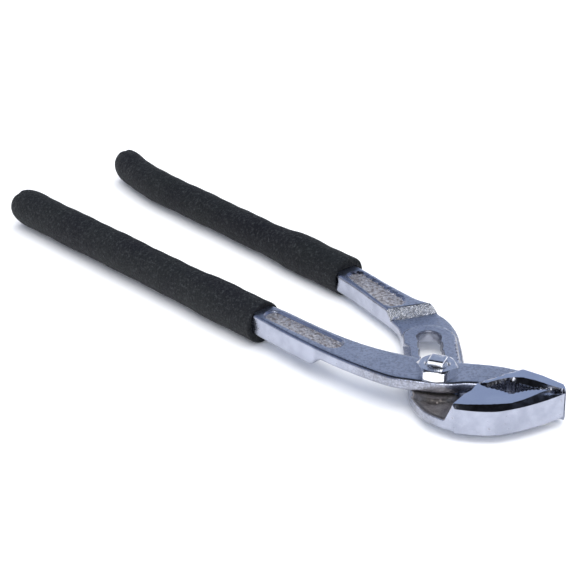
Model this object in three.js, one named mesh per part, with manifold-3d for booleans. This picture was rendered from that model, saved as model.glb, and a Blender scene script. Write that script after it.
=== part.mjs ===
// Slip-joint water pump pliers, 263 mm long, lying flat with the jaws closed.
// Millimetres. The origin is on the pivot bolt's axis, in the plane that the tool rests on.
// +X runs to the jaw tips, +Y towards the slotted half's handle, +Z up along the bolt to its nut.
// The upper half carries the far jaw and crosses over the slotted lower half, which carries the near jaw.
import * as THREE from "three";
import { mergeVertices } from "three/addons/utils/BufferGeometryUtils.js";
import Module from "manifold-3d";

// ---- Heights above the resting plane ----
const JAW_BOTTOM = 1.9;
const JAW_TOP = 14.1;
const UPPER_FACE = 13.7; // ground flat of the upper half, just below its polished jaw
const LAP_HEIGHT = 4.6; // thickness of the upper half where it crosses the lower one
const UPPER_HANDLE_HEIGHT = 8.3;
const LOWER_UNDERSIDE = 2.9;
const PLATE_HEIGHT = 4.8; // the slotted plate
const PAD_HEIGHT = 1.2; // ground pad that rises from the plate around the slot
const LOWER_HANDLE_HEIGHT = 8.1;
const WEB_HEIGHT = 4.45; // from the bottom of the slot to the plate's pad

// ---- Clearances ----
const RUNNING_GAP = 0.2; // between faces that slide on each other
const TOUCH_GAP = 0.3; // between solids that touch on the real tool

// ---- Slot: seven seats, with a cusp between each two ----
const SLOT_TURN = 135; // degrees from +X to the slot's direction, away from the jaws
const SEAT_DIAMETER = 9;
const SEAT_PITCH = 5.9;
const SEAT_STEPS = 6;
const CUSP_HEIGHT = 0.6;
const PAD_RIM = 5.2; // pad beside the slot
const OUTER_RIM = 6.8; // plate beside the slot, on the outer side
const INNER_RIM = 5.2; // the same, on the side of the upper half's handle

// ---- Pivot bolt and nut: M8, its flats sliding between the slot's cusps ----
const SHANK_DIAMETER = 8.4;
const THREAD_DIAMETER = 8;
const HEAD_DIAMETER = 14;
const HEAD_ROUNDING = 1.2;
const NUT_ACROSS_FLATS = 12.8;
const NUT_HEIGHT = 4;
const NUT_CHAMFER = 0.8;
const NUT_TURN = 33; // degrees from +X to one of its corners
const SQUARE_WIDTH = 5.6; // the squared end of the bolt above the nut
const SQUARE_HEIGHT = 2.2;
const SQUARE_BEVEL = 0.6;
const SQUARE_TURN = 24;

// ---- Jaws, along the line where they close, from their root to their tips ----
const JAW_ROOT = [17, 4.6];
const JAW_TURN = 38; // degrees from +X
const JAW_LENGTH = 27.6;
const TOOTH_PITCH = 1.6;
const TOOTH_DEPTH = 0.5;
const JAW_BEVEL = 1.5; // height of the ground bevels around both faces of each jaw

// ---- Handles ----
const UPPER_REACH = 76; // from the bolt's axis to the foam
const LOWER_REACH = 79.5;
const UPPER_MOUTH_Y = -8.1; // centre of each handle where it enters the foam
const LOWER_MOUTH_Y = 41.4;
const HANDLE_WIDTH = 10.8;
const UPPER_TURN = 178.2; // degrees from +X to the closed end of each grip
const LOWER_TURN = 177.1;
const EDGE_ROUNDING = 1.4;
const NECK_REACH = 41; // from the bolt's axis to where the upper half grows to its handle's height
const NECK_RUN = 5;
const STEP_START = 17.2; // from the slot's last seat to the slope up to the lower handle
const STEP_LEAN = 0.3; // how far the slope's foot leans, for each millimetre across the plate
const STEP_RUN = 5.3; // length of the slope from the lower handle down to its plate

// ---- Foam grips, closed at their ends ----
const UPPER_GRIP_LENGTH = 143.4;
const LOWER_GRIP_LENGTH = 145.4;
const UPPER_GRIP_HEIGHT = 8.4; // of its axis above the resting plane
const LOWER_GRIP_HEIGHT = 7.6;
const UPPER_MOUTH_DIAMETER = 15.7;
const LOWER_MOUTH_DIAMETER = 15;
const UPPER_GRIP_DIAMETER = 14.4;
const LOWER_GRIP_DIAMETER = 13.1;
const MOUTH_LENGTH = 22; // from the mouth to where the foam begins to narrow
const GRIP_FLARE = 24; // length over which it narrows
const GRIP_ROUNDING = 5.5;
const LOWER_SWEEP = 5; // the lower handle's end curves outwards by this much
const SWEEP_LENGTH = 38;
const ROD_DIAMETER = 8.6; // the handle's hidden end
const GRIP_END_WALL = 12;

// ---- Label panel sunk in each handle, left blank ----
const PANEL_WIDTH = 7.9;
const PANEL_DEPTH = 0.8;
const UPPER_PANEL_LENGTH = 38;
const LOWER_PANEL_LENGTH = 32;
const PANEL_INSET = 2; // from the foam to each panel's end
const LOWER_PANEL_TURN = 168; // the lower panel follows its handle's bend

const radians = THREE.MathUtils.degToRad;
const seatRadius = SEAT_DIAMETER / 2;
const slotTravel = SEAT_PITCH * SEAT_STEPS;
const slotHalfWidth = seatRadius - CUSP_HEIGHT;
const plateFace = LOWER_UNDERSIDE + PLATE_HEIGHT;
const padFace = plateFace + PAD_HEIGHT;
const lowerHandleFace = LOWER_UNDERSIDE + LOWER_HANDLE_HEIGHT;
const lapUnderside = UPPER_FACE - LAP_HEIGHT;
const upperUnderside = UPPER_FACE - UPPER_HANDLE_HEIGHT;
const webUnderside = padFace - WEB_HEIGHT;
const headTop = webUnderside - RUNNING_GAP;
const nutUnderside = UPPER_FACE + RUNNING_GAP;
const nutTop = nutUnderside + NUT_HEIGHT;
const shankFlats = 2 * (slotHalfWidth - RUNNING_GAP);
const clear = 2 * HEAD_DIAMETER; // reaches past any wall when cutting

const wasm = await Module();
wasm.setup();

// A closed three.js geometry as a solid for joining and cutting.
function solid(geometry) {
  const bare = geometry.index ? geometry.toNonIndexed() : geometry;
  const positions = new THREE.BufferGeometry().setAttribute("position", bare.getAttribute("position"));
  const merged = mergeVertices(positions, 1e-3);
  return new wasm.Manifold(
    new wasm.Mesh({
      numProp: 3,
      vertProperties: merged.attributes.position.array,
      triVerts: new Uint32Array(merged.index.array),
    }),
  );
}

function geometryOf(piece) {
  const mesh = piece.getMesh();
  const geometry = new THREE.BufferGeometry();
  geometry.setAttribute("position", new THREE.BufferAttribute(new Float32Array(mesh.vertProperties), 3));
  geometry.setIndex(new THREE.BufferAttribute(new Uint32Array(mesh.triVerts), 1));
  geometry.computeVertexNormals();
  return geometry;
}

// The point that lies so far along and so far left of a line through an origin.
function onLine(origin, turn, along, left) {
  const c = Math.cos(radians(turn));
  const s = Math.sin(radians(turn));
  return [origin[0] + along * c - left * s, origin[1] + along * s + left * c];
}
const onSlot = (along, left) => onLine([0, 0], SLOT_TURN, along, left);
const onJaw = (share, left) => onLine(JAW_ROOT, JAW_TURN, share * JAW_LENGTH, left);
const onUpper = (share, y) => [-UPPER_REACH * share, y];
const onLower = (share, y) => [-LOWER_REACH * share, y];
const onUpperGrip = (along, left) => onLine([-UPPER_REACH, UPPER_MOUTH_Y], UPPER_TURN, along, left);
const onLowerGrip = (along, left) => onLine([-LOWER_REACH, LOWER_MOUTH_Y], LOWER_TURN, along, left);

// An outline from runs of points that each start where the last one ended: one point makes a straight
// edge, more make a smooth curve.
function contour(first, ...runs) {
  const shape = new THREE.Shape();
  shape.moveTo(...first);
  for (const run of runs) {
    if (run.length === 1) shape.lineTo(...run[0]);
    else shape.splineThru(run.map(([x, y]) => new THREE.Vector2(x, y)));
  }
  return shape;
}

// An outline pushed up from one height to another, with both rims rounded.
function slab(shape, zLow, zHigh, rounding, curveSegments = 3) {
  const geometry = new THREE.ExtrudeGeometry(shape, {
    depth: zHigh - zLow - 2 * rounding,
    curveSegments,
    bevelEnabled: rounding > 0,
    bevelThickness: rounding,
    bevelSize: rounding,
    bevelOffset: -rounding,
    bevelSegments: 3,
  });
  geometry.translate(0, 0, zLow + rounding);
  return solid(geometry);
}

// A solid whose walls run straight from each level's points to the same points of the next level.
function lofted(...levels) {
  const count = levels[0][1].length;
  const flat = levels[0][1].map(([x, y]) => new THREE.Vector2(x, y));
  const turned = THREE.ShapeUtils.isClockWise(flat);
  const corners = levels.map(([z, points]) => points.map(([x, y]) => [x, y, z]));
  const faces = [];
  const add = (a, b, c) => faces.push(...(turned ? [a, c, b] : [a, b, c]).flat());
  const cap = (ring, up) => {
    const plan = ring.map(([x, y]) => new THREE.Vector2(x, y));
    for (const [a, b, c] of THREE.ShapeUtils.triangulateShape(plan, [])) {
      const keep = THREE.ShapeUtils.area([plan[a], plan[b], plan[c]]) > 0 === (up !== turned);
      if (keep) add(ring[a], ring[b], ring[c]);
      else add(ring[a], ring[c], ring[b]);
    }
  };
  for (let k = 0; k + 1 < corners.length; k++) {
    for (let i = 0; i < count; i++) {
      const j = (i + 1) % count;
      add(corners[k][i], corners[k][j], corners[k + 1][j]);
      add(corners[k][i], corners[k + 1][j], corners[k + 1][i]);
    }
  }
  cap(corners[0], false);
  cap(corners[corners.length - 1], true);
  const geometry = new THREE.BufferGeometry();
  geometry.setAttribute("position", new THREE.Float32BufferAttribute(faces, 3));
  return solid(geometry);
}

function cylinder(diameter, zLow, zHigh, segments = 40) {
  const geometry = new THREE.CylinderGeometry(diameter / 2, diameter / 2, zHigh - zLow, segments);
  geometry.rotateX(Math.PI / 2);
  geometry.translate(0, 0, (zLow + zHigh) / 2);
  return solid(geometry);
}

// Where each grip starts and runs, and how thick it is.
const upperGrip = {
  at: onUpperGrip(0, 0),
  turn: UPPER_TURN,
  height: UPPER_GRIP_HEIGHT,
  length: UPPER_GRIP_LENGTH,
  mouth: UPPER_MOUTH_DIAMETER / 2,
  radius: UPPER_GRIP_DIAMETER / 2,
  sweep: 0,
};
const lowerGrip = {
  at: onLowerGrip(0, 0),
  turn: LOWER_TURN,
  height: LOWER_GRIP_HEIGHT,
  length: LOWER_GRIP_LENGTH,
  mouth: LOWER_MOUTH_DIAMETER / 2,
  radius: LOWER_GRIP_DIAMETER / 2,
  sweep: LOWER_SWEEP,
};

// A round body on a grip's axis from a profile of [radius, distance from the mouth]. Its last stretch
// sweeps sideways with the handle.
function turnedOnGrip(profile, grip) {
  const rings = [new THREE.Vector2(...profile[0])];
  for (const [r, d] of profile.slice(1)) {
    const from = rings[rings.length - 1];
    const steps = grip.sweep ? Math.max(1, Math.ceil(Math.abs(d - from.y) / 9)) : 1;
    for (let i = 1; i <= steps; i++) {
      rings.push(new THREE.Vector2(r, d).sub(from).multiplyScalar(i / steps).add(from));
    }
  }
  const geometry = new THREE.LatheGeometry(rings, 32);
  const positions = geometry.getAttribute("position");
  for (let i = 0; i < positions.count; i++) {
    const late = Math.max(0, positions.getY(i) - grip.length + SWEEP_LENGTH) / SWEEP_LENGTH;
    positions.setX(i, positions.getX(i) + grip.sweep * late * late);
  }
  geometry.rotateZ(radians(grip.turn - 90));
  geometry.translate(...grip.at, grip.height);
  return solid(geometry);
}

// Two round ends joined by straight sides.
function obround(from, to, radius, turn) {
  const shape = new THREE.Shape();
  shape.absarc(...from, radius, radians(turn + 90), radians(turn + 270), false);
  shape.absarc(...to, radius, radians(turn - 90), radians(turn + 90), false);
  return shape;
}

// The sunk panel, from its end near the foam towards the pivot.
function panelCut(end, turn, length, face) {
  const radius = PANEL_WIDTH / 2;
  const from = onLine(end, turn, radius - length, 0);
  const to = onLine(end, turn, -radius, 0);
  return slab(obround(from, to, radius, turn), face - PANEL_DEPTH, face + clear, 0, 8);
}

// Upright grooves from one end of a jaw's working edge to the other, cut to one side of it.
function teeth(from, to) {
  const length = Math.hypot(to[0] - from[0], to[1] - from[1]);
  const turn = THREE.MathUtils.radToDeg(Math.atan2(to[1] - from[1], to[0] - from[0]));
  const count = Math.round(length / TOOTH_PITCH);
  const grooves = [];
  for (let i = 0; i < count; i++) {
    const middle = ((i + 0.5) * length) / count;
    const groove = [
      onLine(from, turn, middle - TOOTH_PITCH / 2.4, -TOOTH_DEPTH / 5),
      onLine(from, turn, middle + TOOTH_PITCH / 2.4, -TOOTH_DEPTH / 5),
      onLine(from, turn, middle, TOOTH_DEPTH),
    ];
    grooves.push(lofted([0, groove], [JAW_TOP + 1, groove]));
  }
  return wasm.Manifold.union(grooves);
}

// The end of each handle that is hidden in its grip.
function rod(grip) {
  const radius = ROD_DIAMETER / 2;
  const tip = grip.length - GRIP_END_WALL;
  return turnedOnGrip([[0, -1.5], [radius, -1.5], [radius, tip - 2], [radius - 2, tip], [0, tip]], grip);
}

// ---- The upper half ----
const gap = TOUCH_GAP / 2;
const upperTeeth = [[0.03, 0.7], [0.322, 6.1], [0.6, 2.4], [1, gap]];

function upperHalf() {
  const half = HANDLE_WIDTH / 2;
  const shape = contour(
    onUpperGrip(-TOUCH_GAP, -half),
    [onUpper(0.78, -2.5), onUpper(0.61, -2.6), onUpper(0.42, -1.2), onUpper(0.25, 1.8), [-10, 5.6]],
    [[-4.4, 9.4], [4.7, 15.5], [13.8, 20.7]],
    [onJaw(0.5, 11)],
    [onJaw(0.12, 3.6)],
    [[14.1, 4.8]],
    [[12, 3.2], [8.6, 0.2], [4.7, -4.2], [-5.4, -10.1], onUpper(0.18, -13.2)],
    [onUpper(0.3, -14.4), onUpper(0.53, -15.3), onUpper(0.78, -14.7), onUpperGrip(-TOUCH_GAP, half)],
  );
  const thinned = (x) => [[x, -clear], [2 * clear, -clear], [2 * clear, clear], [x, clear]];
  const neck = thinned(-NECK_REACH);
  const neckFoot = thinned(-NECK_REACH - NECK_RUN);
  const jawBack = [onJaw(0.45, 12.6), onJaw(0.16, 6.8), onJaw(-0.057, 2.4)];
  const jawOuter = [onJaw(1, 2), onJaw(0.985, 3.8), onJaw(0.733, 8.9), onJaw(0.487, 12.6)];
  const wall = [...upperTeeth.map((p) => onJaw(...p)), ...jawOuter, ...jawBack];
  const faceInner = [onJaw(-0.004, 1), onJaw(0.3, 6.7), onJaw(0.62, 5.2), onJaw(0.98, 0.7)];
  const face = [...faceInner, ...jawOuter, ...jawBack];
  const jaw = lofted(
    [JAW_BOTTOM, face],
    [JAW_BOTTOM + JAW_BEVEL, wall],
    [JAW_TOP - JAW_BEVEL, wall],
    [JAW_TOP, face],
  );
  const [root, apex, flat, tip] = upperTeeth.map((p) => onJaw(...p));
  return slab(shape, upperUnderside, UPPER_FACE, EDGE_ROUNDING)
    .subtract(lofted([0, neckFoot], [upperUnderside, neckFoot], [lapUnderside, neck]))
    .add(jaw)
    .subtract(teeth(root, apex))
    .subtract(teeth(apex, flat))
    .subtract(teeth(flat, tip))
    .subtract(cylinder(SHANK_DIAMETER + 2 * TOUCH_GAP, 0, clear))
    .add(rod(upperGrip))
    .subtract(panelCut(onUpperGrip(-PANEL_INSET, 0.1), UPPER_TURN, UPPER_PANEL_LENGTH, UPPER_FACE));
}

// ---- The slotted lower half ----
const lowerTeeth = [[0.019, -0.8], [0.346, -4.7], [0.6, -1.3], [1, -gap]];

function lowerHalf() {
  const half = HANDLE_WIDTH / 2;
  const outer = -(seatRadius + OUTER_RIM);
  const inner = seatRadius + INNER_RIM;
  const end = slotTravel;
  const farBend = [onSlot(end + 6, outer + 0.3), onSlot(end + 12, outer + 2), onSlot(end + 18, outer + 5.2)];
  const nearBend = [onSlot(end + 15.6, inner + 3.4), onSlot(end + 9, inner + 1.4), onSlot(end, inner)];
  const atFoam = onLowerGrip(-TOUCH_GAP, -half);
  const shape = contour(
    onLowerGrip(-TOUCH_GAP, half),
    [onLower(0.86, 33.6), onLower(0.74, 31), onLower(0.62, 28), ...nearBend],
    [onSlot(7, inner)],
    [onSlot(3.5, inner - 0.6), [-4.3, -9], [2.8, -13], [8, -14.4], onJaw(-0.46, -13.4)],
    [onJaw(0, -4)],
    [onSlot(-5, outer)],
    [onSlot(end, outer)],
    [...farBend, onLower(0.56, 41.5), onLower(0.72, 43.2), onLower(0.88, 45), atFoam],
  );
  const aheadOf = (along) => {
    const lean = STEP_LEAN * clear;
    return [
      onSlot(along + lean, -clear),
      onSlot(along - lean, clear),
      onSlot(-3 * clear, clear),
      onSlot(-3 * clear, -clear),
    ];
  };
  const stepFoot = aheadOf(end + STEP_START);
  const stepTop = aheadOf(end + STEP_START + STEP_RUN);
  const step = lofted([0, stepFoot], [plateFace, stepFoot], [lowerHandleFace, stepTop], [clear, stepTop]);
  const alongSlot = (radius) => obround([0, 0], onSlot(end, 0), radius, SLOT_TURN);
  const pad = slab(alongSlot(seatRadius + PAD_RIM), plateFace - 1, padFace, 0.5, 12);
  const jawBack = [onJaw(-0.07, 1.6), onJaw(-0.148, -3.9), onJaw(-0.232, -6.7)];
  const jawOuter = [onJaw(-0.15, -15.2), onJaw(0.211, -14.5), onJaw(0.454, -11.4), onJaw(0.757, -5.9)];
  const faceOuter = [onJaw(-0.153, -13.5), onJaw(0.208, -12.1), onJaw(0.451, -9.7), onJaw(0.66, -5)];
  const [root, apex, flat, tip] = lowerTeeth.map((p) => onJaw(...p));
  const wall = (heel, sides, point) => [...jawBack, heel, ...sides, point, flat, apex, root];
  const face = wall(onJaw(-0.345, -12.9), faceOuter, onJaw(0.985, -0.4));
  const jaw = lofted(
    [JAW_BOTTOM, face],
    [JAW_BOTTOM + JAW_BEVEL, wall(onJaw(-0.37, -13.2), jawOuter, tip)],
    [plateFace, wall(onJaw(-0.46, -13.4), jawOuter, tip)],
    [JAW_TOP - JAW_BEVEL, wall(onJaw(-0.37, -13.2), jawOuter, tip)],
    [JAW_TOP, face],
  );
  const seats = [];
  for (let i = 0; i <= SEAT_STEPS; i++) {
    const [x, y] = onSlot(i * SEAT_PITCH, 0);
    seats.push(cylinder(SEAT_DIAMETER, 0, clear).translate(x, y, 0));
  }
  const slot = slab(alongSlot(slotHalfWidth), 0, clear, 0, 8);
  const channel = slab(alongSlot(HEAD_DIAMETER / 2 + TOUCH_GAP), 0, webUnderside, 0, 12);
  const panelEnd = onLowerGrip(-PANEL_INSET, 1.3);
  return slab(shape, LOWER_UNDERSIDE, lowerHandleFace, EDGE_ROUNDING)
    .subtract(step)
    .add(slab(shape, LOWER_UNDERSIDE, plateFace, EDGE_ROUNDING))
    .add(pad.intersect(slab(shape, 0, clear, 0)))
    .add(jaw)
    .subtract(teeth(apex, root))
    .subtract(teeth(flat, apex))
    .subtract(teeth(tip, flat))
    .subtract(wasm.Manifold.union([slot, channel, ...seats]))
    .add(rod(lowerGrip))
    .subtract(panelCut(panelEnd, LOWER_PANEL_TURN, LOWER_PANEL_LENGTH, lowerHandleFace));
}

// ---- Pivot bolt ----
function pivotBolt() {
  const head = HEAD_DIAMETER / 2;
  const shank = SHANK_DIAMETER / 2;
  const thread = THREAD_DIAMETER / 2;
  const profile = [
    [0, 0], [head - HEAD_ROUNDING, 0], [head - HEAD_ROUNDING * 0.3, HEAD_ROUNDING * 0.3],
    [head, HEAD_ROUNDING], [head, headTop], [shank, headTop], [shank, UPPER_FACE - 1],
    [thread, UPPER_FACE - 1], [thread, nutTop], [0, nutTop],
  ];
  const turned = new THREE.LatheGeometry(profile.map(([r, z]) => new THREE.Vector2(r, z)), 40);
  turned.rotateX(Math.PI / 2);
  const flat = (side) => lofted(...[headTop, padFace + RUNNING_GAP / 2].map((z) => [z, [
    onSlot(-clear, side * shankFlats / 2), onSlot(clear, side * shankFlats / 2),
    onSlot(clear, side * clear), onSlot(-clear, side * clear),
  ]]));
  const square = (z, width) => [z, [0, 90, 180, 270].map((a) => {
    return onLine([0, 0], SQUARE_TURN + a + 45, width * Math.SQRT1_2, 0);
  })];
  const top = nutTop + SQUARE_HEIGHT;
  return solid(turned)
    .subtract(flat(1))
    .subtract(flat(-1))
    .add(lofted(
      square(nutTop - 1, SQUARE_WIDTH),
      square(top - SQUARE_BEVEL, SQUARE_WIDTH),
      square(top, SQUARE_WIDTH - 2 * SQUARE_BEVEL),
    ));
}

// ---- Thin hexagon nut, chamfered on both faces ----
function pivotNut() {
  const corner = NUT_ACROSS_FLATS / Math.sqrt(3);
  const face = NUT_ACROSS_FLATS / 2;
  const bore = THREAD_DIAMETER / 2 + TOUCH_GAP;
  const hexagon = Array.from({ length: 6 }, (_, i) => onLine([0, 0], NUT_TURN + 60 * i, corner, 0));
  const rise = NUT_CHAMFER;
  const profile = [
    [bore, nutUnderside], [face, nutUnderside], [corner, nutUnderside + rise],
    [corner, nutTop - rise], [face, nutTop], [bore, nutTop], [bore, nutUnderside],
  ];
  const round = new THREE.LatheGeometry(profile.map(([r, z]) => new THREE.Vector2(r, z)), 48);
  round.rotateX(Math.PI / 2);
  return lofted([nutUnderside, hexagon], [nutTop, hexagon]).intersect(solid(round));
}

// ---- Foam grip: a sleeve with a closed, rounded end ----
function foamGrip(grip) {
  const bore = ROD_DIAMETER / 2 + TOUCH_GAP;
  const depth = grip.length - GRIP_END_WALL + TOUCH_GAP;
  const end = grip.length - GRIP_ROUNDING;
  const profile = [[bore, 0], [grip.mouth - 0.6, 0], [grip.mouth, 0.6], [grip.mouth, MOUTH_LENGTH]];
  profile.push([grip.radius, MOUTH_LENGTH + GRIP_FLARE]);
  for (let i = 0; i <= 5; i++) {
    const a = (i * Math.PI) / 10;
    const rounded = grip.radius - GRIP_ROUNDING + GRIP_ROUNDING * Math.cos(a);
    profile.push([rounded, end + GRIP_ROUNDING * Math.sin(a)]);
  }
  profile.push([0, grip.length], [0, depth], [bore, depth], [bore, 0]);
  return turnedOnGrip(profile, grip);
}

const pliers = new THREE.Group();
pliers.name = "water_pump_pliers";

function add(name, piece, color, metalness, roughness) {
  const material = new THREE.MeshStandardMaterial({ color, metalness, roughness });
  material.name = name;
  const mesh = new THREE.Mesh(geometryOf(piece), material);
  mesh.name = name;
  pliers.add(mesh);
}

add("upper_half", upperHalf(), 0x8c96a8, 0.9, 0.35);
add("lower_half", lowerHalf(), 0x848e9e, 0.9, 0.4);
add("pivot_bolt", pivotBolt(), 0x9aa0a8, 0.9, 0.3);
add("pivot_nut", pivotNut(), 0xa4aab2, 0.9, 0.3);
add("upper_grip", foamGrip(upperGrip), 0x24262a, 0, 0.95);
add("lower_grip", foamGrip(lowerGrip), 0x26282b, 0, 0.95);

export default pliers;
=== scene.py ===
import math

import bpy
import numpy as np
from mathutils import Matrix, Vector
from mathutils.geometry import delaunay_2d_cdt


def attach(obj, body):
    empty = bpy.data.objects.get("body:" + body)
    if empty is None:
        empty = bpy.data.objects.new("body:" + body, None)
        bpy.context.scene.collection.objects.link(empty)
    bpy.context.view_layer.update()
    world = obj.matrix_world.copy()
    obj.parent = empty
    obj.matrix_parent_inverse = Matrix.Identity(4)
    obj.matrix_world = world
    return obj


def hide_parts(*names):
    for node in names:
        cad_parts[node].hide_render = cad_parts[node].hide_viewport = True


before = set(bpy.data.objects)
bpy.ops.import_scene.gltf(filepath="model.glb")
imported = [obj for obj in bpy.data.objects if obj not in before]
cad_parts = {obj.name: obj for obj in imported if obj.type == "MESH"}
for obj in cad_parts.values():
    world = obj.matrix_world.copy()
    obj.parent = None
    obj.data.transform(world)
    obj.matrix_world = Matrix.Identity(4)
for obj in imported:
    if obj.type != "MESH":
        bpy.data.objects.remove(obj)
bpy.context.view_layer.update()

# ---------------------------------------------------------------- upper half
# The half whose handle is nearest the viewer and whose jaw is the far one. It is a drop forging in carbon
# steel, ground on its flats and chrome plated: satin on the flats, polished on the jaw's face. It crosses
# over the slotted half and the bolt clamps it under the nut.


def curve(points, step=0.7):
    """A smooth line through points in millimetres, with a point every step."""
    knots = [Vector(p) for p in points]
    knots = [2 * knots[0] - knots[1], *knots, 2 * knots[-1] - knots[-2]]
    line = []
    for a, b, c, d in zip(knots, knots[1:], knots[2:], knots[3:]):
        count = max(1, round((c - b).length / step))
        for k in range(count):
            t = k / count
            bend = (2 * a - 5 * b + 4 * c - d) * t**2 + (3 * b - 3 * c + d - a) * t**3
            line.append(0.5 * (2 * b + (c - a) * t + bend))
    return [tuple(p) for p in line] + [tuple(knots[-2])]


def toothed(points, pitch=1.6, depth=0.5):
    """A jaw's working edge with V teeth whose roots lie to the left of its direction."""
    line = []
    for a, b in zip(points, points[1:]):
        a, b = Vector(a), Vector(b)
        inward = Vector((a.y - b.y, b.x - a.x)).normalized() * depth
        count = max(1, round((b - a).length / pitch))
        for k in range(count):
            line += [tuple(a.lerp(b, k / count)), tuple(a.lerp(b, (k + 0.5) / count) + inward)]
    return line + [tuple(points[-1])]


def joined(*lines):
    """One closed outline from lines that follow each other, without doubled points."""
    loop = []
    for line in lines:
        for p in line:
            if not loop or math.dist(p, loop[-1]) > 0.05:
                loop.append(tuple(p))
    return loop[:-1] if math.dist(loop[0], loop[-1]) < 0.05 else loop


def away(points, line, closed=False):
    """How far each point is from a line, in millimetres."""
    a = np.array(line, float)
    a, b = (a, np.roll(a, -1, 0)) if closed else (a[:-1], a[1:])
    reach = b - a
    size = np.maximum((reach**2).sum(1), 1e-12)
    best = np.empty(len(points))
    for s in range(0, len(points), 2000):
        p = points[s : s + 2000, None, :] - a
        t = np.clip((p * reach).sum(2) / size, 0, 1)
        best[s : s + 2000] = np.sqrt(((p - t[..., None] * reach) ** 2).sum(2)).min(1)
    return best


def inside(points, loop):
    """Which points lie inside a closed outline."""
    a = np.array(loop, float)
    b = np.roll(a, -1, 0)
    hit = np.zeros(len(points), bool)
    for (ax, ay), (bx, by) in zip(a, b):
        if ay != by:
            crosses = (ay > points[:, 1]) != (by > points[:, 1])
            hit ^= crosses & (points[:, 0] < (bx - ax) * (points[:, 1] - ay) / (by - ay) + ax)
    return hit


def outside(points, loop):
    """How far each point is outside a closed outline, and 0 inside it."""
    return np.where(inside(points, loop), 0, away(points, loop, True))


def eased(x, start, end):
    """0 before start and 1 after end, turning smoothly in between."""
    t = np.clip((x - start) / (end - start), 0, 1)
    return t * t * (3 - 2 * t)


def rounded(depth, radius):
    """How far a rounded edge has dropped at this depth inside its outline."""
    radius = np.maximum(radius, 1e-3)
    over = np.clip(radius - depth, 0, radius)
    return radius - np.sqrt(np.maximum(radius**2 - over**2, 0))


def built(name, points, faces, kinds, materials, sharp=40):
    """A mesh object in metres from points in millimetres, with one material index per face."""
    mesh = bpy.data.meshes.new(name)
    mesh.from_pydata((np.array(points) * 0.001).tolist(), [], faces)
    for material in materials:
        mesh.materials.append(material)
    mesh.polygons.foreach_set("material_index", kinds)
    mesh.shade_smooth()
    mesh.set_sharp_from_angle(angle=math.radians(sharp))
    mesh.validate()
    made = bpy.data.objects.new(name, mesh)
    bpy.context.scene.collection.objects.link(made)
    return made


def forging(name, loops, creases, top, bottom, kind, materials, spacing=0.8):
    """A forged plate: an outline with holes, between two height maps of place and depth inside the outline."""
    rings = [0.08, 0.25, 0.5, 0.85, 1.3, 1.9]
    chosen = []
    for loop in loops:
        a = np.array(loop)
        along = np.roll(a, -1, 0) - np.roll(a, 1, 0)
        side = np.stack([-along[:, 1], along[:, 0]], 1) / np.maximum(np.linalg.norm(along, axis=1), 1e-9)[:, None]
        for ring in rings:
            for sign in (1, -1):
                chosen.append((a + side * ring * sign, ring * 0.93))
    for crease in creases:
        a = np.array(crease)
        along = np.gradient(a, axis=0)
        side = np.stack([-along[:, 1], along[:, 0]], 1) / np.maximum(np.linalg.norm(along, axis=1), 1e-9)[:, None]
        for ring in (0.35, 0.8):
            for sign in (1, -1):
                chosen.append((a + side * ring * sign, 0.1))
    low, high = np.array(loops[0]).min(0), np.array(loops[0]).max(0)
    grid = np.mgrid[low[0] : high[0] : spacing, low[1] : high[1] : spacing * 0.87]
    grid[0] += (np.arange(grid.shape[2]) % 2) * spacing / 2
    chosen.append((grid.reshape(2, -1).T, rings[-1] + spacing / 2))
    fill = []
    for points, least in chosen:
        keep = inside(points, loops[0])
        for hole in loops[1:]:
            keep &= ~inside(points, hole)
        points = points[keep]
        clear = np.min([away(points, loop, True) for loop in loops], axis=0) > least
        points = points[clear]
        for crease in creases:
            points = points[away(points, crease) > 0.3]
        fill.append(points)
    plan, edges = [], []
    for loop in loops:
        edges += [(len(plan) + k, len(plan) + (k + 1) % len(loop)) for k in range(len(loop))]
        plan += loop
    for crease in creases:
        edges += [(len(plan) + k, len(plan) + k + 1) for k in range(len(crease) - 1)]
        plan += crease
    plan += [tuple(p) for part in fill for p in part]
    flat, _, triangles, *_ = delaunay_2d_cdt([Vector(p) for p in plan], edges, [], 0, 1e-3)
    flat = np.array([tuple(p) for p in flat])
    triangles = np.array([t for t in triangles if len(t) == 3])
    a, b, c = flat[triangles[:, 0]], flat[triangles[:, 1]], flat[triangles[:, 2]]
    turn = (b[:, 0] - a[:, 0]) * (c[:, 1] - a[:, 1]) - (b[:, 1] - a[:, 1]) * (c[:, 0] - a[:, 0])
    triangles[turn < 0] = triangles[turn < 0][:, ::-1]
    middle = (a + b + c) / 3
    keep = inside(middle, loops[0]) & (abs(turn) > 1e-6)
    for hole in loops[1:]:
        keep &= ~inside(middle, hole)
    triangles = triangles[keep]
    used, order = np.unique(triangles, return_inverse=True)
    flat, triangles = flat[used], order.reshape(-1, 3)
    depth = np.min([away(flat, loop, True) for loop in loops], axis=0)
    count = len(flat)
    points = np.concatenate([np.c_[flat, top(flat, depth)], np.c_[flat, bottom(flat, depth)]])
    pairs = set(map(tuple, np.concatenate([triangles[:, [0, 1]], triangles[:, [1, 2]], triangles[:, [2, 0]]])))
    rim = [(i, j) for i, j in pairs if (j, i) not in pairs]
    faces = triangles.tolist() + (triangles[:, ::-1] + count).tolist()
    faces += [(i, i + count, j + count, j) for i, j in sorted(rim)]
    corners = [points[list(f)[:3]] for f in faces]
    centre = np.array([points[list(f)].mean(0) for f in faces])
    normal = np.array([np.cross(p[1] - p[0], p[2] - p[0]) for p in corners])
    normal /= np.maximum(np.linalg.norm(normal, axis=1), 1e-12)[:, None]
    return built(name, points, faces, kind(centre, normal), materials)


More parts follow.
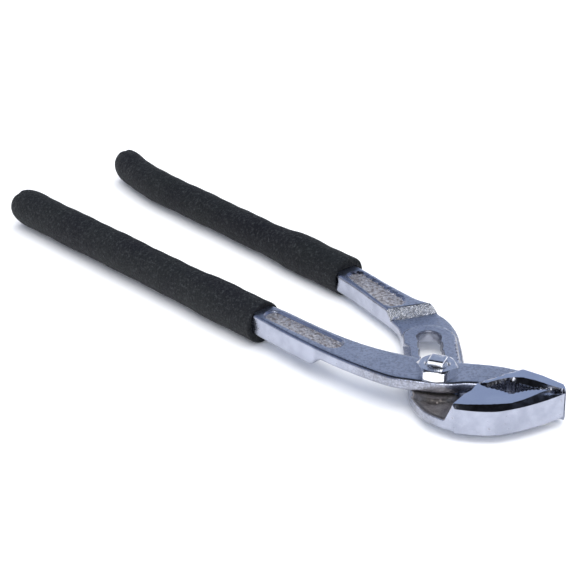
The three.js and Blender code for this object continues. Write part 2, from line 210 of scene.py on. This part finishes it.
class Wire:
    """A shader socket. Arithmetic on it adds Math nodes, and node() adds any other."""

    def __init__(self, tree, socket):
        self.tree, self.socket = tree, socket

    def _math(self, operation, a, b=0.0):
        made = self.tree.nodes.new("ShaderNodeMath")
        made.operation = operation
        for value, target in zip((a, b), made.inputs):
            self._feed(value, target)
        return Wire(self.tree, made.outputs[0])

    def _feed(self, value, target):
        if isinstance(value, Wire):
            self.tree.links.new(value.socket, target)
        else:
            target.default_value = value

    def node(self, kind, settings=None, out=0, **inputs):
        made = self.tree.nodes.new(kind)
        for key, value in (settings or {}).items():
            setattr(made, key, value)
        for key, value in inputs.items():
            numbered = key[0] == "i" and key[1:].isdigit()
            self._feed(value, made.inputs[int(key[1:]) if numbered else key.replace("_", " ")])
        return Wire(self.tree, made.outputs[out])

    def __add__(self, other):
        return self._math("ADD", self, other)

    def __radd__(self, other):
        return self._math("ADD", other, self)

    def __sub__(self, other):
        return self._math("SUBTRACT", self, other)

    def __rsub__(self, other):
        return self._math("SUBTRACT", other, self)

    def __mul__(self, other):
        return self._math("MULTIPLY", self, other)

    def __rmul__(self, other):
        return self._math("MULTIPLY", other, self)

    def __pow__(self, other):
        return self._math("POWER", self, other)

    def ramp(self, start, end, low=0.0, high=1.0):
        """This value eased from low to high between start and end."""
        return self.node(
            "ShaderNodeMapRange", {"interpolation_type": "SMOOTHSTEP"}, i0=self, i1=start, i2=end, i3=low, i4=high
        )

    def tint(self, a, b):
        """Colour a turning into colour b as this value goes from 0 to 1."""
        return self.node("ShaderNodeMix", {"data_type": "RGBA"}, 2, i0=self, i6=a, i7=b)


def finish(name, paint):
    """A material whose Principled inputs come from paint(place), where place is the position in metres."""
    material = bpy.data.materials.new(name)
    material.use_nodes = True
    tree = material.node_tree
    shader = tree.nodes["Principled BSDF"]
    place = tree.nodes.new("ShaderNodeTexCoord")
    start = Wire(tree, place.outputs["Object"])
    for key, value in paint(start).items():
        start._feed(value, shader.inputs[key])
    return material


def noise(place, scale, detail=3.0, roughness=0.5):
    """Fractal noise from 0 to 1, with scale in features per metre."""
    return place.node("ShaderNodeTexNoise", Vector=place, Scale=scale, Detail=detail, Roughness=roughness)


def bumped(height, distance, strength=1.0):
    """A surface normal from a height, with distance in metres."""
    return height.node("ShaderNodeBump", Height=height, Distance=distance, Strength=strength)


def satin(place):
    grain = noise(place, 2600, 4, 0.7)
    cloud = noise(place, 60, 3)
    wear = noise(place, 260, 5, 0.65).ramp(0.6, 0.74)
    specks = noise(place, 1100, 4, 0.7).ramp(0.56, 0.7)
    colour = cloud.ramp(0.3, 0.7).tint((0.56, 0.61, 0.72, 1), (0.68, 0.73, 0.84, 1))
    colour = (noise(place, 900, 4, 0.75).ramp(0.46, 0.6) * 0.5).tint(colour, (0.26, 0.29, 0.37, 1))
    colour = (specks * 0.4).tint(colour, (0.56, 0.5, 0.45, 1))
    return {
        "Base Color": (wear * 0.25).tint(colour, (0.62, 0.64, 0.68, 1)),
        "Metallic": 1.0,
        "Roughness": 0.3 + 0.16 * cloud - 0.06 * wear,
        "Normal": bumped(grain + 0.5 * noise(place, 900, 2), 0.0001),
    }


def polished(place):
    haze = noise(place, 120, 3)
    fine = noise(place, 1800, 3, 0.6)
    return {
        "Base Color": haze.ramp(0.3, 0.7).tint((0.66, 0.7, 0.79, 1), (0.72, 0.76, 0.84, 1)),
        "Metallic": 1.0,
        "Roughness": 0.12 + 0.1 * haze + 0.04 * fine,
        "Normal": bumped(fine, 0.00001),
    }


def flank(place):
    """The forged and plated side walls: brighter than the flats, with soft waves from the die."""
    wave = noise(place, 170, 2)
    fine = noise(place, 1500, 4, 0.6)
    spots = noise(place, 420, 3).ramp(0.68, 0.76)
    along = place.node("ShaderNodeSeparateXYZ", None, 0, Vector=place)
    worn = along.ramp(-0.034, -0.018) * along.ramp(0.008, 0.015, 1.0, 0.0)
    colour = wave.ramp(0.3, 0.7).tint((0.31, 0.33, 0.4, 1), (0.4, 0.42, 0.5, 1))
    colour = (worn * fine.ramp(0.35, 0.62) * 0.75).tint(colour, (0.2, 0.2, 0.22, 1))
    return {
        "Base Color": (spots * 0.4).tint(colour, (0.3, 0.28, 0.27, 1)),
        "Metallic": 1.0,
        "Roughness": 0.17 + 0.16 * fine + 0.1 * spots,
        "Normal": bumped(0.4 * wave + 0.25 * fine, 0.0003),
    }


def panel_floor(place):
    """The sunk label panel, left as it came from the die, with a generic raised grain and no lettering."""
    grain = noise(place, 1300, 3, 0.6)
    strokes = place.node("ShaderNodeTexVoronoi", {"feature": "SMOOTH_F1"}, Vector=place, Scale=900.0, Smoothness=0.4)
    dirt = noise(place, 700, 4).ramp(0.4, 0.66)
    colour = dirt.tint((0.92, 0.89, 0.89, 1), (0.4, 0.35, 0.33, 1))
    return {
        "Base Color": colour,
        "Metallic": 0.9,
        "Roughness": 0.3 + 0.25 * dirt,
        "Normal": bumped(grain + 1.4 * strokes, 0.0007),
    }


SATIN = finish("satin_chrome", satin)
POLISHED = finish("polished_chrome", polished)
FLANK = finish("plated_flank", flank)
PANEL = finish("label_panel", panel_floor)


def ground_bevel(place):
    """The bevels ground around the jaws' faces, mirror-smooth, with the dark they mirror painted into their colour as
    near black: a painted dark reflection.
    """
    streak = noise(place, 500, 3)
    fine = noise(place, 1600, 3, 0.6)
    return {
        # near-black base colour: painted dark reflection
        "Base Color": streak.ramp(0.35, 0.7).tint((0.12, 0.12, 0.13, 1), (0.26, 0.265, 0.29, 1)),
        "Metallic": 1.0,
        "Roughness": 0.14 + 0.12 * fine,
        "Normal": bumped(fine, 0.00004),
    }


BEVEL = finish("ground_bevel", ground_bevel)

UPPER_OUTER = [(39.05, 21.75), (38.9, 22.2), (37.4, 23.4), (36.1, 24.3), (27.4, 24.1), (19.7, 22.9)]
UPPER_FAR = [
    (19.7, 22.9), (13.8, 20.7), (9.3, 18.5), (4.7, 15.5), (0.2, 12.3), (-5, 8.6), (-11.3, 5.2), (-19, 2.5),
    (-24.5, 0.7), (-31.8, -1), (-39, -2), (-47.2, -2.6), (-59, -2.7), (-68, -2.5), (-80, -2.9), (-90, -3.4),
]
UPPER_NEAR = [
    (-90, -13), (-80, -13.3), (-68, -14.1), (-59, -14.8), (-49.9, -15.3), (-40.8, -15.5), (-31.8, -15.3),
    (-22.7, -14.6), (-13.6, -13.3), (-9, -12.1), (-5.4, -10.3), (-0.8, -7.7), (4.2, -4.7), (8, -1.4), (10.4, 1.6),
    (12.2, 3.3), (14.1, 4.8),
]
UPPER_TEETH = [(17.2, 5.7), (18.6, 9.9), (20.2, 14.6), (24.2, 15.4), (28.2, 16.4), (32.5, 18.6), (38.7, 21.65)]
UPPER_FACE_EDGE = [
    (16.3, 5.2), (17.4, 9.1), (19.3, 13.7), (22, 17.1), (26.5, 19.1), (31.1, 20), (36.1, 21), (38.6, 21.85),
]
UPPER_FACE_PLAN = [
    (14.3, 5.4), *[tuple(p) for p in curve(UPPER_FACE_EDGE, 1.2)], (38.7, 22), (37.3, 23.2), (36, 24.05),
    (27.4, 23.85), (19.8, 22.7), (19.2, 22.5), (18.3, 20), (16.1, 12.8),
]
upper_outline = joined(
    curve(UPPER_NEAR), [(14.1, 4.8), (15.6, 5.2)], toothed(UPPER_TEETH), curve(UPPER_OUTER[:5]),
    curve(UPPER_OUTER[4:]), curve(UPPER_FAR)
)
UPPER_BACK = [(13.9, 4.9), (14.3, 5.5), (16.1, 12.8), (18.3, 20), (19.4, 23.4)]
UPPER_JAW_SIDE = [*UPPER_BACK, (60, 30), (60, -30), (20, -30)]
UPPER_PANEL = [(-70.1, -8.3), (-40.8, -8.5)]
PANEL_RADIUS = 3.95


def upper_top(plan, depth):
    face = outside(plan, UPPER_FACE_PLAN)
    on_jaw = inside(plan, UPPER_JAW_SIDE)
    jaw = 14.1 - 1.5 * face / np.maximum(face + depth, 1e-6)
    flat = 13.7 - rounded(depth, 1.25) - 0.85 * eased(PANEL_RADIUS - away(plan, UPPER_PANEL), 0, 0.8)
    lip = 1 - eased(away(plan, UPPER_BACK), 0, 0.3)
    return np.where(on_jaw, jaw - 0.4 * lip * (face < 0.2), flat)


def upper_bottom(plan, depth):
    face = outside(plan, UPPER_FACE_PLAN)
    on_jaw = inside(plan, UPPER_JAW_SIDE)
    jaw = 1.9 + 1.5 * face / np.maximum(face + depth, 1e-6)
    lap = 5.4 + 3.7 * eased(plan[:, 0], -46.5, -41)
    return np.where(on_jaw, jaw, lap + rounded(depth, 1.3))


def upper_kind(centre, normal):
    plan = centre[:, :2]
    kind = np.where(abs(normal[:, 2]) > 0.93, 0, 2)
    kind[(normal[:, 2] > 0.99) & inside(plan, UPPER_FACE_PLAN) & (centre[:, 2] > 13.8)] = 1
    kind[(away(plan, UPPER_PANEL) < PANEL_RADIUS - 0.75) & (centre[:, 2] > 12)] = 3
    # the jaw's bevels take the near-black material, a painted dark reflection
    kind[inside(plan, UPPER_JAW_SIDE) & (normal[:, 2] > 0.2) & (normal[:, 2] < 0.97) & (centre[:, 2] > 12)] = 4
    return kind


def panel_creases(line, radius):
    (ax, ay), (bx, by) = line
    heading = math.atan2(by - ay, bx - ax)
    rings = []
    for r in (radius, radius - 0.8):
        turns = [heading + math.pi / 2 + math.pi * k / 12 for k in range(13)]
        ring = [(ax + r * math.cos(t), ay + r * math.sin(t)) for t in turns]
        ring += [(bx - r * math.cos(t), by - r * math.sin(t)) for t in turns]
        rings.append([*ring, ring[0]])
    return rings


upper = forging(
    "upper_half_forging",
    [upper_outline],
    [[*UPPER_FACE_PLAN[:-3], UPPER_FACE_PLAN[-3]], UPPER_BACK[1:-1], *panel_creases(UPPER_PANEL, PANEL_RADIUS)],
    upper_top,
    upper_bottom,
    upper_kind,
    [SATIN, POLISHED, FLANK, PANEL, BEVEL],
)
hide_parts("upper_half")
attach(upper, "upper_half")

# ---------------------------------------------------------------- lower half
# The slotted half, forged and plated like the upper one. Its handle steps down to a thin plate with a ground
# pad around the slot, and the plate runs under the upper half to the near jaw. The step is left rough.


def forged_step(place):
    lumps = noise(place, 900, 4, 0.65)
    return {
        "Base Color": lumps.ramp(0.35, 0.65).tint((0.5, 0.5, 0.5, 1), (0.95, 0.95, 0.96, 1)),
        "Metallic": 1.0,
        "Roughness": 0.16 + 0.2 * lumps,
        "Normal": bumped(lumps + 0.5 * noise(place, 2400, 2), 0.0009),
    }


def shaded_plate(place):
    """The plate beside the near jaw, in the upper half's shade: its darker, brownish colour is painted shade."""
    grain = noise(place, 1500, 4, 0.65)
    stain = noise(place, 200, 3)
    return {
        # darker brownish tones: painted shade from the upper half
        "Base Color": (grain.ramp(0.4, 0.6) * 0.5).tint(
            stain.ramp(0.35, 0.65).tint((0.36, 0.32, 0.29, 1), (0.5, 0.46, 0.42, 1)), (0.2, 0.17, 0.15, 1)
        ),
        "Metallic": 1.0,
        "Roughness": 0.34 + 0.15 * grain,
        "Normal": bumped(grain, 0.00012),
    }


STEP = finish("forged_step", forged_step)
# the plate beside the near jaw, with the upper half's shade painted into its colour
SHADED = finish("painted_shade_plate", shaded_plate)

LOWER_NEAR = [
    (-90, 36.6), (-81, 35.3), (-74, 34.1), (-68.5, 32.9), (-62, 31.3), (-55.3, 29.5), (-50, 28.2), (-45.7, 26.9),
    (-42, 25.5), (-38.8, 23.9), (-35.8, 21.6), (-32.2, 18.6), (-29, 15.4),
]
LOWER_HEEL = [
    (-12, -1.6), (-9.5, -4.1), (-7.2, -6.6), (-4.3, -9.2), (-0.8, -11.4), (2.8, -13), (7, -14.2), (12, -14.2),
    (15.3, -13.7), (18.6, -12.6), (23.3, -9.9), (27.2, -6.9), (30.6, -3.2), (33.9, 3.3), (35.8, 8.5), (37.2, 13.2),
    (38.2, 17.6), (38.85, 21.4),
]
LOWER_TEETH = [
    (38.6, 21.35), (34.7, 17.8), (30.6, 13.7), (28.6, 10), (27.4, 6.6), (22.9, 5.9), (17.9, 4.2),
]
LOWER_FAR = [
    (-7, 23), (-11.3, 27.4), (-16.7, 32.5), (-21.3, 36.5), (-26.7, 39.9), (-31, 41.7), (-34.8, 42.6), (-38.3, 43),
    (-41.5, 42.2), (-45.5, 41.7), (-51.3, 42.2), (-61.3, 43.4), (-71.3, 45.1), (-80, 46.2), (-90, 47.2),
]
lower_outline = joined(
    curve(LOWER_NEAR), curve(LOWER_HEEL), [(38.6, 21.35)], toothed(LOWER_TEETH), [(16.5, 4), (14.6, 4.4), (11.6, 4.4)],
    [(-7 + 18.6 * (1 - k / 20), 23 - 18.6 * (1 - k / 20)) for k in range(1, 20)], curve(LOWER_FAR)
)
SLOT_WAY = Vector((-math.sqrt(0.5), math.sqrt(0.5)))
SEATS = [SLOT_WAY * 5.9 * k for k in range(7)]


def slot_outline():
    across = Vector((SLOT_WAY.y, -SLOT_WAY.x))
    half = []
    for k in range(6):
        for t in (-0.3, -0.15, 0, 0.15, 0.3, 0.42, 0.5, 0.58):
            if k > 0 or t >= 0:
                over = abs(t - 0.5)
                width = 4.5 - 0.62 * max(0, 1 - over / 0.24)
                if over > 0.24:
                    width = 4.5 - 0.08 * max(0, 1 - (over - 0.24) / 0.26)
                half.append((5.9 * (k + t), width))
    end = [(35.4 + 4.5 * math.sin(a), 4.5 * math.cos(a)) for a in [math.pi * k / 16 for k in range(17)]]
    side = [tuple(SLOT_WAY * s + across * w) for s, w in half]
    back = [tuple(SLOT_WAY * s - across * w) for s, w in reversed(half)]
    cap = [tuple(SLOT_WAY * s + across * w) for s, w in end]
    start = [tuple(SLOT_WAY * (-s + 35.4) - across * w) for s, w in end]
    return joined(side, cap, back, start)


slot_hole = slot_outline()
LOWER_FACE_EDGE = [
    (35.4, 18.7), (34.2, 15.4), (33.6, 11), (32.6, 5.4), (31, 1.2), (29, -1.4), (25.6, -5.2), (22, -8.6),
    (17.4, -11.9),
]
LOWER_FACE_PLAN = joined(
    [(14.4, 4.5), (16.5, 4.2), (18, 4.45), (22.8, 6.1), (27, 7.2), (28.2, 10.2), (30.3, 13.9), (34.3, 17.9)],
    curve(LOWER_FACE_EDGE, 1.2), [(16.1, -4.6), (16.2, -1)]
)
WALL_TOP = [(14.4, 4.7), (16.2, -1), (16.1, -4.6), (17.4, -11.9), (18.2, -13.6)]
WALL_FOOT = [(13.9, 4.7), (15.5, -1), (14.9, -6), (14.8, -11), (15.2, -14.4)]
JAW_SIDE = [(14.6, 30), *WALL_TOP, (18.2, -30), (80, -30), (80, 30)]
PLATE_SIDE = [(14.1, 30), *WALL_FOOT, (15.2, -30), (-150, -30), (-150, 90), (14.1, 90)]
STEP_TOP = [(-55.2, 15.9), (-47.4, 28.7), (-40.4, 40.4), (-36.4, 47.3)]
STEP_FOOT = [(-52.7, 13.8), (-44.9, 26.6), (-38.1, 38.6), (-34.1, 45.9)]
STEP_DEPTH = 2.9
LOWER_PANEL = [(-73.4, 39.6), (-51, 34.2)]


def risen(plan):
    """How far up the step each point is, from 0 at its foot to 1 at its top, unclipped."""
    before = plan - np.array(STEP_FOOT[1])
    way = np.array(STEP_FOOT[2]) - np.array(STEP_FOOT[1])
    way /= np.linalg.norm(way)
    return (-before[:, 0] * way[1] + before[:, 1] * way[0]) / STEP_DEPTH


def lower_top(plan, depth):
    rise = risen(plan)
    ground = away(plan, [(0, 0), tuple(SEATS[-1])])
    pad = 1.2 * eased(-ground, -10.1, -9.1)
    plate = 7.7 + pad + 3.3 * np.clip(rise, 0, 1)
    radius = 1.2 + 0.3 * np.clip(rise, 0, 1)
    plate = plate - np.where(ground < 6, rounded(depth, 0.35), rounded(depth, radius))
    sunk = away(plan, LOWER_PANEL) - 4.3 - 0.05 * (plan[:, 0] + 62)
    plate -= 0.85 * eased(-sunk, 0, 0.8)
    face = outside(plan, LOWER_FACE_PLAN)
    jaw = 14.1 - 1.5 * face / np.maximum(face + depth, 1e-6)
    foot, head = outside(plan, PLATE_SIDE), outside(plan, JAW_SIDE)
    climb = foot / np.maximum(foot + head, 1e-6)
    return np.where(head == 0, jaw, plate + (14.1 - plate) * climb)


def lower_bottom(plan, depth):
    face = outside(plan, LOWER_FACE_PLAN)
    jaw = 1.9 + 1.5 * face / np.maximum(face + depth, 1e-6)
    slot = away(plan, [(0, 0), tuple(SEATS[-1])])
    plate = 2.9 + 1.5 * eased(-slot, -7.5, -7.1)
    outer = np.where(slot < 6.5, 0.2, 2.0)
    plate = plate + rounded(depth, outer)
    return np.where(inside(plan, JAW_SIDE), jaw, plate)


def lower_kind(centre, normal):
    plan = centre[:, :2]
    up = normal[:, 2]
    kind = np.where(abs(up) > 0.93, 0, 2)
    kind[(up > 0.99) & inside(plan, LOWER_FACE_PLAN) & (centre[:, 2] > 13.8)] = 1
    rise = risen(plan)
    kind[(rise > 0) & (rise < 1) & (up > 0.3) & (centre[:, 2] > 6)] = 4
    sunk = away(plan, LOWER_PANEL) - 4.3 - 0.05 * (plan[:, 0] + 62)
    kind[(sunk < -0.75) & (centre[:, 2] > 9)] = 3
    # the jaw's bevels take the near-black material, a painted dark reflection
    kind[inside(plan, JAW_SIDE) & (up > 0.2) & (up < 0.97) & (centre[:, 2] > 12)] = 6
    # the plate beside the near jaw gets the darker brownish material: painted shade from the upper half
    kind[(up > 0.5) & inside(plan, PLATE_SIDE) & (plan[:, 1] < 0) & (plan[:, 0] > -8) & (centre[:, 2] < 9.2)] = 5
    return kind


lower = forging(
    "lower_half_forging",
    [lower_outline, slot_hole],
    [[*LOWER_FACE_PLAN], WALL_TOP[:-1], WALL_FOOT[:-1], STEP_TOP[1:3], STEP_FOOT[1:3]],
    lower_top,
    lower_bottom,
    lower_kind,
    [SATIN, POLISHED, FLANK, PANEL, STEP, SHADED, BEVEL],
)
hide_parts("lower_half")
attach(lower, "lower_half")

# ---------------------------------------------------------------- pivot bolt
# A plated steel bolt. Its round head sits in the channel under the slot, its flats slide between the slot's
# cusps, and its squared end stands above the nut.


def turned(profile, segments=64):
    """Points and faces of a body turned about the bolt's axis from [radius, height] in millimetres."""
    points, faces = [], []
    for r, z in profile:
        for k in range(segments):
            a = 2 * math.pi * k / segments
            points.append((r * math.cos(a), r * math.sin(a), z))
    for row in range(len(profile) - 1):
        for k in range(segments):
            i, j = row * segments + k, row * segments + (k + 1) % segments
            faces.append((i, j, j + segments, i + segments))
    faces.append(tuple(range(segments))[::-1])
    faces.append(tuple((len(profile) - 1) * segments + k for k in range(segments)))
    return points, faces


def bright(place):
    smear = noise(place, 700, 4, 0.6)
    return {
        "Base Color": smear.ramp(0.3, 0.7).tint((0.72, 0.73, 0.76, 1), (0.84, 0.85, 0.87, 1)),
        "Metallic": 1.0,
        "Roughness": 0.1 + 0.16 * smear,
        "Normal": bumped(smear, 0.00006),
    }


BRIGHT = finish("bright_plating", bright)
profile = [(5.8, 0.0), (6.5, 0.25), (6.9, 0.8), (7.0, 1.4), (7.0, 3.9), (6.7, 4.2), (3.7, 4.25), (3.7, 9.0)]
profile += [(4.0, 9.3), (4.0, 13.0)]
for k in range(8):
    low = 13.2 + 0.56 * k
    profile += [(3.95, low), (3.95, low + 0.1), (3.6, low + 0.32), (3.6, low + 0.4)]
profile += [(3.7, 17.8), (3.4, 18.1), (3.1, 18.25)]
points, faces = turned(profile)
bolt = built("pivot_bolt_shank", points, faces, [0] * len(faces), [BRIGHT], 30)


def squared(turn, levels, corner=0.55):
    """Points and faces of the bolt's squared end from (half width, height) levels."""
    points, faces = [], []
    ring = 16
    for half, z in levels:
        plan = []
        for k in range(4):
            for step in range(4):
                a = math.radians(90 * k + 30 * step)
                cx = (half - corner) * (1 if k in (0, 3) else -1)
                cy = (half - corner) * (1 if k in (0, 1) else -1)
                plan.append((cx + corner * math.cos(a), cy + corner * math.sin(a)))
        c, s = math.cos(math.radians(turn)), math.sin(math.radians(turn))
        points += [(x * c - y * s, x * s + y * c, z) for x, y in plan]
    for row in range(len(levels) - 1):
        for k in range(ring):
            i, j = row * ring + k, row * ring + (k + 1) % ring
            faces.append((i, j, j + ring, i + ring))
    faces.append(tuple(range(ring))[::-1])
    faces.append(tuple((len(levels) - 1) * ring + k for k in range(ring)))
    return points, faces


points, faces = squared(24, [(2.88, 17.5), (2.88, 19.6), (2.8, 19.85), (2.55, 20.05), (2.2, 20.15)])
tip = built("pivot_bolt_square", points, faces, [0] * len(faces), [BRIGHT], 30)
for piece in (bolt, tip):
    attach(piece, "pivot")
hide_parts("pivot_bolt")

# ---------------------------------------------------------------- pivot nut
# A thin M8 hexagon nut in plated steel, chamfered on both faces, screwed down on the upper half.

NUT_LOW, NUT_HIGH, ACROSS = 13.85, 17.9, 12.8
levels = [(z / 6) ** 1.5 * 0.9 for z in range(7)]
heights = [NUT_LOW + z for z in levels] + [NUT_HIGH - z for z in reversed(levels)]
points, faces = [], []
segments = 96
for r, z in [(4.05, NUT_LOW), *[(None, h) for h in heights], (4.6, NUT_HIGH), (4.05, NUT_HIGH - 0.45)]:
    for k in range(segments):
        a = 2 * math.pi * k / segments
        if r is None:
            within = (math.degrees(a) % 60) - 30
            flat = ACROSS / 2 / math.cos(math.radians(within))
            cone = ACROSS / 2 * 0.97 + 1.9 * min(z - NUT_LOW, NUT_HIGH - z)
            size = min(flat, cone)
        else:
            size = r
        turn = a + math.radians(29)
        points.append((size * math.cos(turn), size * math.sin(turn), z))
rows = len(points) // segments
for row in range(rows):
    for k in range(segments):
        i, j = row * segments + k, row * segments + (k + 1) % segments
        m, n = ((row + 1) % rows) * segments + k, ((row + 1) % rows) * segments + (k + 1) % segments
        faces.append((i, j, n, m))
nut = built("pivot_nut_hexagon", points, faces, [0] * len(faces), [BRIGHT], 24)
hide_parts("pivot_nut")
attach(nut, "pivot")

# ---------------------------------------------------------------- foam grips
# Closed-cell foam sleeves, moulded with a closed end and pushed over the handles. Their mouths are cut a
# little askew and stretch over the handle's bar.


def foam(place):
    pores = place.node("ShaderNodeTexVoronoi", {"feature": "F1"}, Vector=place, Scale=900.0)
    patch = noise(place, 45, 3)
    fine = noise(place, 1100, 4, 0.75)
    dust = noise(place, 520, 5, 0.75).ramp(0.56, 0.7)
    colour = patch.ramp(0.35, 0.65).tint((0.0045, 0.005, 0.0075, 1), (0.007, 0.0085, 0.0095, 1))
    return {
        "Base Color": (fine.ramp(0.53, 0.62) * 0.5 + dust * 0.4).tint(colour, (0.06, 0.066, 0.07, 1)),
        "Roughness": 0.66 + 0.22 * fine,
        "Specular IOR Level": 0.3,
        "Normal": bumped(fine + 0.8 * pores, 0.0008),
    }


FOAM = finish("foam", foam)


def grip(name, start, turn, length, mouth, body, sweep, bar, lobes, bulge):
    """A foam sleeve from its mouth to its pinched end, over a bar of a half width, half height and lift."""
    heading = Vector((math.cos(math.radians(turn)), math.sin(math.radians(turn)), 0))
    left = Vector((-heading.y, heading.x, 0))
    around = 72
    wide, high, lift = bar
    rows = [("bore", 9.0, 0), ("bore", 3.0, 0), ("bore", 0.7, 0)]
    for depth, size in ((0.3, 0.87), (0.0, 0.92), (0.05, 0.96), (0.35, 0.99), (1.0, 1.0), (2.5, 1.0)):
        rows.append(("skin", depth, size))
    steps = int((length - 13) / 2.2)
    rows += [("skin", 5 + (length - 13) * k / steps, 1.0) for k in range(steps + 1)]
    rows += [("skin", length - 8 + 8 * math.sin(a), math.cos(a) ** 0.42) for a in [0.118 * k for k in range(1, 14)]]
    points, faces = [], []
    for what, depth, size in rows:
        late = max(0, depth - length + 38) / 38
        aside = left * (-sweep * late * late)
        narrow = min(1, max(0, (depth - 22) / 24))
        narrow = narrow * narrow * (3 - 2 * narrow)
        lump = 0.09 * math.sin(depth * 0.23 + turn) + 0.07 * math.sin(depth * 0.61 + 2)
        swell = bulge * math.exp(-((depth - 25) ** 2) / 60)
        for k in range(around):
            a = 2 * math.pi * k / around
            c, n = math.cos(a), math.sin(a)
            if what == "bore":
                # a squarish hole that fits the handle's bar
                corner = (abs(c) ** 6 + abs(n) ** 6) ** (-1 / 6)
                x, z = wide * c * corner, lift + high * n * corner
            else:
                radius = mouth + (body - mouth) * narrow + lump + 0.06 * math.sin(3 * a + depth * 0.09)
                radius += swell * max(0, n) ** 2
                x, z = radius * size * c, radius * size * n
            push = depth
            if size and depth > length - 8:
                for place, width, deep in lobes:
                    push -= deep * (1 - size) * math.exp(-((c - place) ** 2) / width)
            points.append(tuple(Vector(start) + heading * push + aside + left * x + Vector((0, 0, z))))
    for row in range(len(rows) - 1):
        for k in range(around):
            i, j = row * around + k, row * around + (k + 1) % around
            faces.append((i, i + around, j + around, j))
    faces.append(tuple(range(around)))
    faces.append(tuple((len(rows) - 1) * around + k for k in range(around))[::-1])
    made = built(name, points, faces, [0] * len(faces), [FOAM], 50)
    return made


upper_foam = grip(
    "upper_grip_foam", (-75.9, -8.1, 8.4), 178.2, 143.2, 7.85, 7.2, 0, (5.4, 4.15, 1.15), [(0.35, 0.04, 3)], 0
)
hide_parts("upper_grip")
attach(upper_foam, "upper_half")
lower_foam = grip(
    "lower_grip_foam", (-79.4, 41.4, 7.72), 177.1, 142.4, 7.5, 6.5, 6, (5.4, 4.1, -0.65), [(-0.05, 0.04, 6)], 0.5
)
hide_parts("lower_grip")
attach(lower_foam, "lower_half")

# ---------------------------------------------------------------- studio
# A plain white table under soft light: a dark ceiling between a broad panel behind the viewer and a pale
# blue-grey wall beyond the tool, which is what the plating mirrors.

bpy.ops.mesh.primitive_plane_add(size=6)
floor = bpy.context.object
floor.name = "table"
table = finish("table", lambda place: {
    "Base Color": noise(place, 3).tint((0.9, 0.9, 0.905, 1), (0.92, 0.92, 0.92, 1)),
    "Roughness": 0.9,
})
floor.data.materials.append(table)


def panel_light(name, place, aim, size, power, colour=(1, 1, 1), mirrored=True):
    data = bpy.data.lights.new(name, "AREA")
    data.shape = "RECTANGLE"
    data.size, data.size_y = size
    data.energy = power
    data.color = colour
    made = bpy.data.objects.new(name, data)
    bpy.context.scene.collection.objects.link(made)
    made.location = place
    made.rotation_euler = (Vector(aim) - Vector(place)).to_track_quat("-Z", "Y").to_euler()
    made.visible_glossy = mirrored
    return made


panel_light("overhead_fill", (0, 0, 1.6), (0, 0, 0), (2.4, 2.4), 56, mirrored=False)
panel_light("behind_viewer", (0.95, -1.1, 0.95), (0, 0, 0), (1.3, 0.7), 12)

world = bpy.data.worlds.new("studio")
bpy.context.scene.world = world
world.use_nodes = True
nodes = world.node_tree.nodes
sky = Wire(world.node_tree, nodes.new("ShaderNodeTexCoord").outputs["Generated"])
height = sky.node("ShaderNodeSeparateXYZ", None, 2, Vector=sky)
low = height.ramp(0.12, 0.42)
wall = low.tint((0.95, 0.96, 1.0, 1), (0.32, 0.385, 0.56, 1))
ceiling = height.ramp(0.62, 0.86).tint(wall, (0.03, 0.032, 0.04, 1))
sky._feed(ceiling, nodes["Background"].inputs["Color"])
nodes["Background"].inputs["Strength"].default_value = 1.0

lens = bpy.data.cameras.new("camera")
lens.lens = 136.55
lens.sensor_width = 36
lens.clip_end = 20
viewer = bpy.data.objects.new("camera", lens)
bpy.context.scene.collection.objects.link(viewer)
viewer.location = (0.4209, -0.5085, 0.38885)
viewer.rotation_euler = (math.radians(62.5), 0, math.radians(44.009))
bpy.context.scene.camera = viewer
bpy.context.scene.view_settings.view_transform = "Standard"
